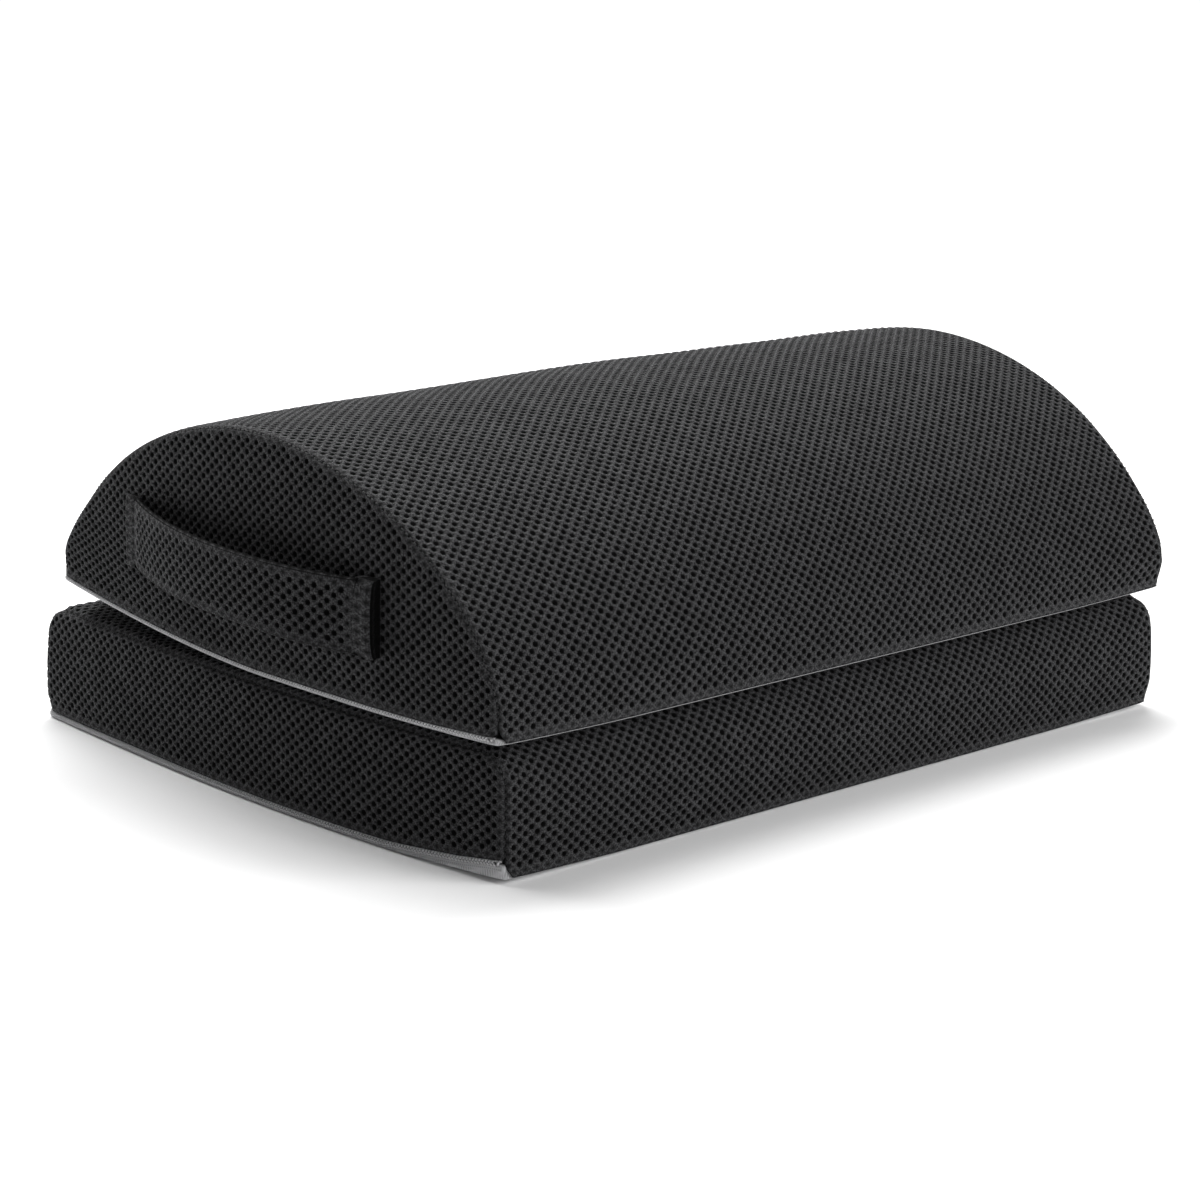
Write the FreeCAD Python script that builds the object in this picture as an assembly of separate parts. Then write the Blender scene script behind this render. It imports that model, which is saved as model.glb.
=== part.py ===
import FreeCAD, Part
import math
import os

# Two-part foot-rest cushion: a half-round cushion on a rectangular pad, both in zipped mesh covers.
# Millimetres. X runs along the length and the left end, at -X, carries the handle. The front is -Y.
# Z is up. The origin is on the underside of the lower pad, at its centre.

Vector = FreeCAD.Vector

# ---- lower pad ----
LOWER_LENGTH = 415.0          # between the corners
LOWER_END_BOW = 10.0          # how far each end stands out at its middle
LOWER_DEPTH = 318.0
LOWER_HEIGHT = 56.0
LOWER_TOP_ROUND = 18.0        # radius of the long top edges

# ---- upper cushion ----
UPPER_LENGTH = 424.0
UPPER_END_BOW = 5.0
UPPER_DEPTH = 300.0
UPPER_HEIGHT = 106.0
UPPER_FLANK = 14.0            # upright foot of the side, under the half-round
UPPER_SET_FORWARD = 9.0       # the two front edges line up, so the spare depth is at the back

# ---- cover ----
MESH_THICKNESS = 4.0
BOTTOM_FABRIC = 1.2
CORNER_ROUND = 7.0            # upright corners, seen from above
LAYER_GAP = 0.2               # between one layer of a cushion and the next
STACK_GAP = 0.4               # between the strips that hold the two cushions together

# ---- sewing ----
THREAD_THICKNESS = 0.5
THREAD_WIDTH = 0.9
THREAD_FROM_EDGE = 3.0
THREAD_LIFT = 0.05

# ---- hook-and-loop strips ----
STRIP_LENGTH = 110.0
STRIP_WIDTH = 25.0
STRIP_THICKNESS = 1.0
STRIP_SPACING = 190.0         # between the middles of the two strips
STRIP_POCKET_GAP = 0.1

# ---- zip chain, in the lowest part of the left end and of the rear side ----
ZIP_HEIGHT = 10.0             # both tapes together
ZIP_EDGE_GAP = 0.1
ZIP_START_INSET = 16.0        # from the front face to the start of the chain
ZIP_END_INSET = 60.0          # from the right-hand corner to the end of the chain
TAPE_DEPTH = 2.0              # tape's outer face, in from the cover's outer face
TAPE_THICKNESS = 0.8
COIL_DEPTH = 0.4
COIL_HALF_WIDTH = 1.7
COIL_SPLIT = 0.1              # between the two coils
STOP_LENGTH = 3.0
STOP_GAP = 0.1

# ---- zip slider and pull ----
SLIDER_LENGTH = 10.0
SLIDER_WIDTH = 7.0
SLIDER_PLATE = 1.3
SLIDER_GAP = 0.3
FLANGE_THICKNESS = 0.8
BACK_PLATE_THICKNESS = 0.7
BACK_PLATE_WIDTH = 6.0
CROWN_LENGTH = 6.0
CROWN_WIDTH = 2.2
CROWN_POST = 1.2
CROWN_OPENING = 2.0           # height under the crown
CROWN_BAR = 1.0
PULL_LENGTH = 27.0
PULL_WIDTH = 6.4
PULL_THICKNESS = 1.4
PULL_EYE_WIDTH = 3.0
PULL_EYE_LENGTH = 5.5         # from the pull's pivot to the far side of its eye
PULL_PIN = 1.3                # the pull's own cross bar, under the crown
TRAVEL_END_GAP = 50.0         # kept free before the corner, where the chain turns away

# ---- handle ----
HANDLE_HALF_SPAN = 84.0       # from the middle to the outer end of each fold
HANDLE_WIDTH = 32.0
HANDLE_THICKNESS = 3.6
HANDLE_CENTRE = 44.0          # height over the upper cushion's underside
HANDLE_BOW = 20.0             # finger room between strap and end panel, at the middle
FOLD_LENGTH = 9.0
FOLD_THICKNESS = 9.0
FOLD_GAP = 0.1
HANDLE_STITCHES = 7
STITCH_LENGTH = 2.6
STITCH_RADIUS = 0.35

REACH = 2000.0                # longer than any side, for half-space cuts
OUTSIDE = 1.0                 # how far a cut starts outside the face it goes through
UPPER_BASE = LOWER_HEIGHT + STACK_GAP + STRIP_THICKNESS
BOX_START = -REACH / 2


def box(x_low, x_high, y_low, y_high, z_low, z_high):
    size = (x_high - x_low, y_high - y_low, z_high - z_low)
    return Part.makeBox(*size, Vector(x_low, y_low, z_low))


def line(start, end):
    return Part.LineSegment(start, end).toShape()


def arc(start, middle, end):
    return Part.Arc(start, middle, end).toShape()


def crown(half_width, flank, height, foot):
    """Curve in the YZ plane over the top, from the rear side to the front side.

    It is the part above the flank of an ellipse that stands on the foot.
    """
    start = math.asin(flank / height)
    side = foot + Vector(0, half_width / math.cos(start), 0)
    top = foot + Vector(0, 0, height)
    if half_width / math.cos(start) >= height:
        return Part.ArcOfEllipse(Part.Ellipse(side, top, foot), start, math.pi - start).toShape()
    turn = math.pi / 2 - start
    return Part.ArcOfEllipse(Part.Ellipse(top, side, foot), -turn, turn).toShape()


class Cushion:
    """Outer sizes of one cushion, and the layers that follow from them."""

    def __init__(self, name, length, end_bow, depth, height, base, middle_y):
        self.name = name
        self.half_length = length / 2
        self.end_bow = end_bow
        self.half_depth = depth / 2
        self.height = height
        self.base = base
        self.middle_y = middle_y

    def rear_face(self):
        return self.middle_y + self.half_depth

    def plan(self, inset):
        """Upright prism with bowed ends and rounded corners, inset from the outer faces."""
        x = self.half_length - inset
        y = self.half_depth - inset
        low = Vector(0, self.middle_y, BOX_START)
        edges = [
            line(low + Vector(-x, -y, 0), low + Vector(x, -y, 0)),
            arc(low + Vector(x, -y, 0), low + Vector(x + self.end_bow, 0, 0), low + Vector(x, y, 0)),
            line(low + Vector(x, y, 0), low + Vector(-x, y, 0)),
            arc(low + Vector(-x, y, 0), low + Vector(-x - self.end_bow, 0, 0), low + Vector(-x, -y, 0)),
        ]
        prism = Part.Face(Part.Wire(edges)).extrude(Vector(0, 0, REACH))
        upright = [edge for edge in prism.Edges if edge.BoundBox.ZLength > REACH / 2]
        return prism.makeFillet(CORNER_ROUND - inset, upright)

    def profile_edges(self, inset):
        raise NotImplementedError

    def profile(self, inset):
        """Prism along X with the cushion's cross-section, inset from the outer faces."""
        face = Part.Face(Part.Wire(self.profile_edges(inset)))
        return face.extrude(Vector(REACH, 0, 0))

    def body(self, inset):
        """Whole cushion, inset from the outer faces."""
        return self.plan(inset).common(self.profile(inset))

    def above(self, height):
        return box(BOX_START, -BOX_START, BOX_START, -BOX_START, self.base + height, REACH)

    def bottom_panel(self):
        slab = box(BOX_START, -BOX_START, BOX_START, -BOX_START, self.base, self.base + BOTTOM_FABRIC)
        return self.plan(0).common(slab)

    def foam_core(self):
        inset = MESH_THICKNESS + LAYER_GAP
        solid = self.body(inset).common(self.above(BOTTOM_FABRIC + LAYER_GAP))
        return solid.cut(self.zip_room())

    def wrap_panel(self):
        solid = self.body(0).cut(self.profile(MESH_THICKNESS))
        return solid.common(self.above(BOTTOM_FABRIC)).cut(self.zip_room())

    def end_panel(self, side):
        inner = self.profile(MESH_THICKNESS + LAYER_GAP)
        solid = self.plan(0).common(inner).cut(self.plan(MESH_THICKNESS))
        outward = sorted((0, side * -BOX_START))
        half = box(*outward, BOX_START, -BOX_START, self.base + BOTTOM_FABRIC, REACH)
        return solid.common(half).cut(self.zip_room())

    def seam_thread(self, side):
        """Thin line of stitching on the wrap panel, beside the seam of one end."""
        skin = self.profile(-THREAD_LIFT - THREAD_THICKNESS).cut(self.profile(-THREAD_LIFT))
        outer = self.end_outline(THREAD_FROM_EDGE, side)
        stripe = outer.cut(self.end_outline(THREAD_FROM_EDGE + THREAD_WIDTH, side))
        return skin.common(stripe).common(self.above(BOTTOM_FABRIC + ZIP_HEIGHT + THREAD_WIDTH))

    def end_outline(self, inset, side):
        """Block that is bounded on one end by the bowed end face, inset, and runs on past both sides."""
        x = self.half_length - inset
        y = self.half_depth
        crest = x + self.end_bow
        reach = y * 2
        far = x + self.end_bow - self.end_bow * reach ** 2 / y ** 2
        place = Vector(0, self.middle_y, BOX_START)

        def point(out, across):
            return place + Vector(side * out, across, 0)

        edges = [
            line(point(0, -reach), point(far, -reach)),
            arc(point(far, -reach), point(crest, 0), point(far, reach)),
            line(point(far, reach), point(0, reach)),
            line(point(0, reach), point(0, -reach)),
        ]
        return Part.Face(Part.Wire(edges)).extrude(Vector(0, 0, REACH))

    # ---- zip ----

    def chain_height(self):
        return self.base + BOTTOM_FABRIC + ZIP_HEIGHT / 2

    def chain_start(self):
        return self.middle_y - self.half_depth + ZIP_START_INSET

    def chain_end(self):
        return self.half_length - ZIP_END_INSET

    def along_zip(self, trim_start, trim_end):
        """Region round the left end and the rear side that the chain follows."""
        corner_room = CORNER_ROUND + MESH_THICKNESS
        left = box(BOX_START, corner_room - self.half_length, self.chain_start() + trim_start,
                   -BOX_START, BOX_START, REACH)
        rear = box(BOX_START, self.chain_end() - trim_end, self.rear_face() - corner_room,
                   -BOX_START, BOX_START, REACH)
        return left.fuse(rear)

    def ribbon(self, outer, inner, low, high, region):
        """Upright band between two insets and two heights, along part of the zip."""
        ring = self.plan(outer).cut(self.plan(inner))
        slab = box(BOX_START, -BOX_START, BOX_START, -BOX_START, low, high)
        return ring.common(slab).common(region).removeSplitter()

    def zip_room(self):
        """Space for the chain and the slider's back plate, clear of the mesh and of the foam."""
        behind_tape = TAPE_DEPTH + TAPE_THICKNESS + SLIDER_GAP
        depth = max(MESH_THICKNESS + LAYER_GAP, behind_tape + BACK_PLATE_THICKNESS + SLIDER_GAP)
        low = self.base + BOTTOM_FABRIC
        return self.ribbon(-OUTSIDE, depth, low, low + ZIP_HEIGHT, self.along_zip(0, 0))

    def zip_tape(self, above_chain):
        low = self.base + BOTTOM_FABRIC + ZIP_EDGE_GAP
        high = self.chain_height() - COIL_SPLIT / 2
        if above_chain:
            low = self.chain_height() + COIL_SPLIT / 2
            high = self.base + BOTTOM_FABRIC + ZIP_HEIGHT - ZIP_EDGE_GAP
        region = self.along_zip(ZIP_EDGE_GAP, ZIP_EDGE_GAP)
        return self.ribbon(TAPE_DEPTH, TAPE_DEPTH + TAPE_THICKNESS, low, high, region)

    def zip_coil(self, above_chain):
        low = self.chain_height() - COIL_SPLIT / 2 - COIL_HALF_WIDTH
        if above_chain:
            low = self.chain_height() + COIL_SPLIT / 2
        trim = STOP_LENGTH + STOP_GAP + ZIP_EDGE_GAP
        region = self.along_zip(trim, trim)
        return self.ribbon(COIL_DEPTH, TAPE_DEPTH, low, low + COIL_HALF_WIDTH, region)

    def zip_stop(self, at_start):
        reach = COIL_HALF_WIDTH + COIL_SPLIT / 2
        low = self.chain_height() - reach
        whole = self.along_zip(ZIP_EDGE_GAP, ZIP_EDGE_GAP)
        trim = STOP_LENGTH + ZIP_EDGE_GAP
        rest = self.along_zip(trim, ZIP_EDGE_GAP) if at_start else self.along_zip(ZIP_EDGE_GAP, trim)
        return self.ribbon(COIL_DEPTH, TAPE_DEPTH, low, low + 2 * reach, whole.cut(rest))

    def slider_place(self):
        """Point on the cover's outer face, in the middle of the closed slider."""
        x = self.chain_end() - ZIP_EDGE_GAP - STOP_LENGTH - STOP_GAP - SLIDER_GAP - SLIDER_LENGTH / 2
        return Vector(x, self.rear_face(), self.chain_height())

    def slider_travel(self):
        corner = -self.half_length + CORNER_ROUND + TRAVEL_END_GAP
        return self.slider_place().x - corner - SLIDER_LENGTH / 2

    def pull_pivot(self):
        over_plate = SLIDER_PLATE + SLIDER_GAP - COIL_DEPTH + CROWN_OPENING / 2
        return self.slider_place() + Vector(0, over_plate, 0)

    def zip_slider(self):
        place = self.slider_place()
        half = SLIDER_LENGTH / 2
        plate_low = place.y - COIL_DEPTH + SLIDER_GAP
        plate_high = plate_low + SLIDER_PLATE
        wide = SLIDER_WIDTH / 2
        solid = box(place.x - half, place.x + half, plate_low, plate_high, place.z - wide, place.z + wide)
        corners = [edge for edge in solid.Edges if edge.BoundBox.YLength > SLIDER_PLATE / 2]
        solid = solid.makeFillet(SLIDER_WIDTH / 4, corners)
        flange_low = COIL_SPLIT / 2 + COIL_HALF_WIDTH + SLIDER_GAP
        for side in (-1, 1):
            edges = sorted((place.z + side * flange_low, place.z + side * (flange_low + FLANGE_THICKNESS)))
            deep = place.y - TAPE_DEPTH + SLIDER_GAP
            reach = half - SLIDER_WIDTH / 4
            solid = solid.fuse(box(place.x - reach, place.x + reach, deep, plate_low, *edges))
        bridge = box(place.x - CROWN_LENGTH / 2, place.x + CROWN_LENGTH / 2, plate_high,
                     plate_high + CROWN_OPENING + CROWN_BAR, place.z - CROWN_WIDTH / 2,
                     place.z + CROWN_WIDTH / 2)
        tops = [edge for edge in bridge.Edges
                if edge.BoundBox.ZLength > CROWN_WIDTH / 2 and edge.BoundBox.YMin > plate_high + CROWN_BAR]
        bridge = bridge.makeFillet(CROWN_BAR / 2, tops)
        opening = box(place.x - CROWN_LENGTH / 2 + CROWN_POST, place.x + CROWN_LENGTH / 2 - CROWN_POST,
                      plate_high, plate_high + CROWN_OPENING, place.z - CROWN_WIDTH, place.z + CROWN_WIDTH)
        return solid.fuse(bridge.cut(opening)).removeSplitter()

    def zip_slider_back(self):
        place = self.slider_place()
        outer = place.y - TAPE_DEPTH - TAPE_THICKNESS - SLIDER_GAP
        wide = BACK_PLATE_WIDTH / 2
        half = SLIDER_LENGTH / 2
        solid = box(place.x - half, place.x + half, outer - BACK_PLATE_THICKNESS, outer,
                    place.z - wide, place.z + wide)
        corners = [edge for edge in solid.Edges if edge.BoundBox.YLength > BACK_PLATE_THICKNESS / 2]
        return solid.makeFillet(BACK_PLATE_WIDTH / 4, corners)

    def zip_pull(self):
        """Flat tab that lies along the chain towards +X, with an eye round the crown."""
        pivot = self.pull_pivot()
        thick = PULL_THICKNESS / 2
        wide = PULL_WIDTH / 2
        tab = box(pivot.x, pivot.x + PULL_LENGTH, pivot.y - thick, pivot.y + thick,
                  pivot.z - wide, pivot.z + wide)
        ends = [edge for edge in tab.Edges
                if edge.BoundBox.YLength > thick and edge.BoundBox.XMin > pivot.x + PULL_EYE_LENGTH]
        tab = tab.makeFillet(PULL_WIDTH / 3, ends)
        eye = box(pivot.x - OUTSIDE, pivot.x + PULL_EYE_LENGTH, pivot.y - PULL_WIDTH, pivot.y + PULL_WIDTH,
                  pivot.z - PULL_EYE_WIDTH / 2, pivot.z + PULL_EYE_WIDTH / 2)
        rod = Part.makeCylinder(PULL_PIN / 2, PULL_WIDTH, pivot - Vector(0, 0, wide), Vector(0, 0, 1))
        return tab.cut(eye).fuse(rod).removeSplitter()


class LowerPad(Cushion):
    def profile_edges(self, inset):
        y = self.half_depth - inset
        radius = LOWER_TOP_ROUND - inset
        top = self.base + self.height - inset
        origin = Vector(BOX_START, self.middle_y, 0)
        corner_shift = radius * (1 - math.sqrt(0.5))

        def point(across, up):
            return origin + Vector(0, across, up)

        return [
            line(point(-y, self.base), point(y, self.base)),
            line(point(y, self.base), point(y, top - radius)),
            arc(point(y, top - radius), point(y - corner_shift, top - corner_shift), point(y - radius, top)),
            line(point(y - radius, top), point(radius - y, top)),
            arc(point(radius - y, top), point(corner_shift - y, top - corner_shift), point(-y, top - radius)),
            line(point(-y, top - radius), point(-y, self.base)),
        ]

    def wrap_panel(self):
        """The loop strips lie flush in the top, where the stitching presses the mesh flat."""
        return super().wrap_panel().cut(self.strip_pockets())

    def strips(self, margin):
        top = self.base + self.height
        return strip_pair(top - STRIP_THICKNESS - margin, top + margin, margin)

    def loop_strips(self):
        return self.strips(0)

    def strip_pockets(self):
        return self.strips(STRIP_POCKET_GAP)


class UpperCushion(Cushion):
    def profile_edges(self, inset):
        y = self.half_depth - inset
        flank = self.base + UPPER_FLANK
        origin = Vector(BOX_START, self.middle_y, 0)

        def point(across, up):
            return origin + Vector(0, across, up)

        return [
            line(point(-y, self.base), point(y, self.base)),
            line(point(y, self.base), point(y, flank)),
            crown(y, UPPER_FLANK, self.height - inset, point(0, self.base)),
            line(point(-y, flank), point(-y, self.base)),
        ]

    def body(self, inset):
        """Whole cushion. The plan's sides cut off a half ellipse, which leaves the upright flank."""
        height = self.height - inset
        wide = (self.half_depth - inset) / math.cos(math.asin(UPPER_FLANK / height))
        foot = Vector(BOX_START, self.middle_y, self.base)
        side = Vector(0, wide, 0)
        edges = [crown(wide, 0, height, foot), line(foot - side, foot + side)]
        dome = Part.Face(Part.Wire(edges)).extrude(Vector(REACH, 0, 0))
        return self.plan(inset).common(dome)

    def hook_strips(self):
        return strip_pair(self.base - STRIP_THICKNESS, self.base, 0)

    # ---- handle ----

    def end_face(self, across):
        """How far out the left end's face is, at a distance from its middle."""
        radius = (self.half_depth ** 2 + self.end_bow ** 2) / (2 * self.end_bow)
        drop = radius - math.sqrt(radius ** 2 - across ** 2)
        return self.half_length + self.end_bow - drop

    def handle_levels(self):
        middle = self.base + HANDLE_CENTRE
        return middle - HANDLE_WIDTH / 2, middle + HANDLE_WIDTH / 2

    def handle_strap(self):
        low, high = self.handle_levels()
        root = HANDLE_HALF_SPAN - FOLD_LENGTH - FOLD_GAP
        near = self.end_face(root) + FOLD_GAP
        crest = self.end_face(0) + HANDLE_BOW

        def point(out, across):
            return Vector(-out, self.middle_y + across, low)

        thick = HANDLE_THICKNESS
        edges = [
            arc(point(near, -root), point(crest, 0), point(near, root)),
            line(point(near, root), point(near + thick, root)),
            arc(point(near + thick, root), point(crest + thick, 0), point(near + thick, -root)),
            line(point(near + thick, -root), point(near, -root)),
        ]
        return Part.Face(Part.Wire(edges)).extrude(Vector(0, 0, high - low))

    def handle_fold(self, side):
        """The strap's end, folded back on itself and sewn to the end panel."""
        low, high = self.handle_levels()
        outer = HANDLE_HALF_SPAN
        inner = outer - FOLD_LENGTH
        across = sorted((side * inner, side * outer))
        start = self.end_face(inner) + FOLD_GAP
        solid = box(-start - FOLD_THICKNESS, -start, self.middle_y + across[0],
                    self.middle_y + across[1], low, high)
        fronts = [edge for edge in solid.Edges
                  if edge.BoundBox.ZLength > HANDLE_WIDTH / 2 and edge.BoundBox.XMax < -start - FOLD_THICKNESS / 2]
        return solid.makeFillet(FOLD_LENGTH / 3, fronts)

    def handle_stitching(self, side):
        """Row of short stitches on the outer face of one fold."""
        low, high = self.handle_levels()
        across = side * (HANDLE_HALF_SPAN - FOLD_LENGTH / 2)
        face = self.end_face(HANDLE_HALF_SPAN - FOLD_LENGTH) + FOLD_GAP + FOLD_THICKNESS
        pitch = (high - low) / HANDLE_STITCHES
        stitches = []
        for number in range(HANDLE_STITCHES):
            start = low + pitch * (number + 0.5) - STITCH_LENGTH / 2
            place = Vector(-face - THREAD_LIFT - STITCH_RADIUS, self.middle_y + across, start)
            stitches.append(Part.makeCylinder(STITCH_RADIUS, STITCH_LENGTH, place, Vector(0, 0, 1)))
        return Part.makeCompound(stitches)


def strip_pair(low, high, margin):
    """Two equal strips across the depth, one towards each end."""
    strips = []
    for side in (-1, 1):
        middle = side * STRIP_SPACING / 2
        half_width = STRIP_WIDTH / 2 + margin
        half_length = STRIP_LENGTH / 2 + margin
        strips.append(box(middle - half_width, middle + half_width,
                          -half_length, half_length, low, high))
    return Part.makeCompound(strips)


def shared_nodes(cushion):
    """The pieces that both cushions have, by node name."""
    name = cushion.name
    return {
        name + "_foam_core": cushion.foam_core(),
        name + "_wrap_panel": cushion.wrap_panel(),
        name + "_left_end_panel": cushion.end_panel(-1),
        name + "_right_end_panel": cushion.end_panel(1),
        name + "_bottom_panel": cushion.bottom_panel(),
        name + "_left_seam_thread": cushion.seam_thread(-1),
        name + "_right_seam_thread": cushion.seam_thread(1),
        name + "_zip_cover_tape": cushion.zip_tape(True),
        name + "_zip_bottom_tape": cushion.zip_tape(False),
        name + "_zip_cover_coil": cushion.zip_coil(True),
        name + "_zip_bottom_coil": cushion.zip_coil(False),
        name + "_zip_start_stop": cushion.zip_stop(True),
        name + "_zip_end_stop": cushion.zip_stop(False),
        name + "_zip_slider": cushion.zip_slider(),
        name + "_zip_slider_back": cushion.zip_slider_back(),
        name + "_zip_pull": cushion.zip_pull(),
    }


lower = LowerPad("lower", LOWER_LENGTH, LOWER_END_BOW, LOWER_DEPTH, LOWER_HEIGHT, 0.0, 0.0)
upper = UpperCushion("upper", UPPER_LENGTH, UPPER_END_BOW, UPPER_DEPTH, UPPER_HEIGHT, UPPER_BASE,
                     -UPPER_SET_FORWARD)

nodes = shared_nodes(lower)
nodes.update(shared_nodes(upper))
nodes["lower_loop_strips"] = lower.loop_strips()
nodes["upper_hook_strips"] = upper.hook_strips()
nodes["handle_strap"] = upper.handle_strap()
nodes["handle_front_fold"] = upper.handle_fold(-1)
nodes["handle_rear_fold"] = upper.handle_fold(1)
nodes["handle_front_stitching"] = upper.handle_stitching(-1)
nodes["handle_rear_stitching"] = upper.handle_stitching(1)

os.makedirs("parts", exist_ok=True)
for node, shape in nodes.items():
    shape.exportStep("parts/" + node + ".step")
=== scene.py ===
import math

import bmesh
import bpy
import numpy as np
from mathutils import Matrix, Vector
from mathutils.geometry import delaunay_2d_cdt


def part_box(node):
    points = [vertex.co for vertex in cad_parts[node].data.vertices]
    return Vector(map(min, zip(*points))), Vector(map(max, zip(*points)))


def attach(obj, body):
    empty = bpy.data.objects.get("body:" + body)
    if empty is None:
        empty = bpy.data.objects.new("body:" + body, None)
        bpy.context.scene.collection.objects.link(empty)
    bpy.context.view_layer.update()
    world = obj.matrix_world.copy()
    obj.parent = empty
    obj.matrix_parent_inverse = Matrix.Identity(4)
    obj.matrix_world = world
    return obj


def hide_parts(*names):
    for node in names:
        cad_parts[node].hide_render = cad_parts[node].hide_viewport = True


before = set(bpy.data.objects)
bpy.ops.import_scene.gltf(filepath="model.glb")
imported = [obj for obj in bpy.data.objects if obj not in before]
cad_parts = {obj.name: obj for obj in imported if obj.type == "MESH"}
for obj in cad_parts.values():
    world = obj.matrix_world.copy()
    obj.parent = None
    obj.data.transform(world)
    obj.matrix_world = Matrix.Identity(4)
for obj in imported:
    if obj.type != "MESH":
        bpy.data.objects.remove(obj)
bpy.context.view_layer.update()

# Lengths inside this script are millimetres, turned into metres when a mesh is made.
MM = 0.001

# ---- the air mesh: holes on a staggered lattice ----
HOLE_PITCH = 6.05             # between holes of one row
ROW_PITCH = 2.53              # between rows, every other one shifted by half a pitch
HOLE_RADIUS = 1.38
HOLE_DEPTH = 2.9
RIM_DEPTH = 0.42
SEAM_FADE = (1.0, 3.8)        # the holes close up between these distances from a seam
EDGE_RINGS = (0.5, 1.1, 1.9)  # rows of points along a panel's edge, for its rolled form
PANEL_LIP = 2.2               # how far a panel's edge turns inwards

# ---- the cushions' soft shape ----
CORNER_ROUND = 3.0
LOWER_BOW = 10.0
UPPER_BOW = 5.0
UPPER_FLANK = 14.0
UPPER_ROUNDNESS = 1.9         # 2 is a true ellipse, and less has flatter shoulders
UPPER_CROWN = 2.8             # how much higher its top stands at mid-length
LOWER_TOP_ROUND = 18.0
END_TOP_ROUND = 7.0
CHAIN_OVER_BASE = 6.2
CORNER_FLARE = {"lower": (0.0, 2.6, 2.6), "upper": (0.0, 0.4, 2.4)}   # front left, rear left, right
FLARE_REACH = 70.0
LIFT_REACH = (75.0, 155.0)    # from the front and the rear corners
BASE_ROUND = {"lower": 1.1, "upper": 0.3}     # how far the underside's edge is off the ground
# Height of the left end's hem over the base, at distances from the front corner.
LEFT_HEM = {
    "lower": ((0, 9.0), (10, 8.6), (24, 7.0), (62, 4.6), (103, 4.0), (190, 4.2), (235, 4.3), (310, 3.4)),
    "upper": ((0, 3.4), (14, 3.2), (40, 2.6), (310, 2.4))}
ZIP_END_INSET = 60.0


def left_hem(name, y, half_depth):
    """Height of the left end's hem over the base."""
    place, height = zip(*LEFT_HEM[name])
    return np.interp(np.asarray(y) + half_depth, place, height)


def smooth(low, high, value):
    """Eased step from 0 at low to 1 at high."""
    t = np.clip((np.asarray(value, float) - low) / (high - low), 0, 1)
    return t * t * (3 - 2 * t)


def unit(vectors):
    return vectors / np.linalg.norm(vectors, axis=1, keepdims=True)


def interp_rows(place, places, rows):
    """Rows of values, given at places, worked out at place."""
    return np.column_stack([np.interp(place, places, column) for column in rows.T])


# ------------------------------------------------------------------ materials

def new_material(name, colour, roughness):
    material = bpy.data.materials.new(name)
    material.use_nodes = True
    shader = material.node_tree.nodes["Principled BSDF"]
    shader.inputs["Base Color"].default_value = (*colour, 1)
    shader.inputs["Roughness"].default_value = roughness
    return material, shader


class Nodes:
    """Short way to add and join shader nodes in one material."""

    def __init__(self, material):
        self.tree = material.node_tree

    def add(self, kind, **settings):
        node = self.tree.nodes.new(kind)
        for name, value in settings.items():
            setattr(node, name, value)
        return node

    def link(self, out, into):
        self.tree.links.new(out, into)

    def math(self, operation, a, b=None, clamp=False):
        node = self.add("ShaderNodeMath", operation=operation, use_clamp=clamp)
        for socket, value in zip(node.inputs, (a, b)):
            if value is None:
                continue
            if isinstance(value, (int, float)):
                socket.default_value = value
            else:
                self.link(value, socket)
        return node.outputs[0]

    def mix(self, factor, a, b):
        node = self.add("ShaderNodeMix", data_type="RGBA")
        for index, value in ((0, factor), (6, a), (7, b)):
            if isinstance(value, (int, float)):
                node.inputs[index].default_value = value
            elif isinstance(value, tuple):
                node.inputs[index].default_value = (*value, 1)
            else:
                self.link(value, node.inputs[index])
        return node.outputs[2]

    def attribute(self, name, output="Fac"):
        return self.add("ShaderNodeAttribute", attribute_name=name).outputs[output]

    def place(self):
        return self.add("ShaderNodeNewGeometry").outputs["Position"]

    def noise(self, vector, scale, detail=2.0, roughness=0.5):
        node = self.add("ShaderNodeTexNoise")
        node.inputs["Scale"].default_value = scale
        node.inputs["Detail"].default_value = detail
        node.inputs["Roughness"].default_value = roughness
        self.link(vector, node.inputs["Vector"])
        return node.outputs["Fac"]

    def ramp(self, value, low, high, at_low=0.0, at_high=1.0):
        """Eased change between two values as the input goes from low to high."""
        node = self.add("ShaderNodeMapRange", interpolation_type="SMOOTHSTEP")
        self.link(value, node.inputs["Value"])
        for socket, number in zip(("From Min", "From Max", "To Min", "To Max"), (low, high, at_low, at_high)):
            node.inputs[socket].default_value = number
        return node.outputs["Result"]

    def ridges(self, vector, direction, pitch, phase=0.0):
        """Rounded ridges, one each pitch, across a direction of the vector's XY plane."""
        dot = self.add("ShaderNodeVectorMath", operation="DOT_PRODUCT")
        self.link(vector, dot.inputs[0])
        turn = 2 * math.pi / pitch
        dot.inputs[1].default_value = (direction[0] * turn, direction[1] * turn, direction[2] * turn)
        wave = self.math("SINE", self.math("ADD", dot.outputs["Value"], phase))
        return self.math("ADD", self.math("MULTIPLY", wave, 0.5), 0.5)

    def bump(self, height, strength, distance, shader):
        node = self.add("ShaderNodeBump")
        node.inputs["Strength"].default_value = strength
        node.inputs["Distance"].default_value = distance
        self.link(height, node.inputs["Height"])
        self.link(node.outputs["Normal"], shader.inputs["Normal"])


def tones(colour, contrast):
    """The darker and the lighter tone of a colour."""
    return tuple(c * (1 - contrast) for c in colour), tuple(min(1, c * (1 + contrast)) for c in colour)


MESH_COLOUR = (0.0165, 0.0165, 0.0173)
# painted shade: the near-black colour below is painted into the holes' depths, the panels' edges and lips and the
# strap's fold slits
PAINTED_SHADE_COLOUR = (0.0003, 0.0003, 0.0003)


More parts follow.
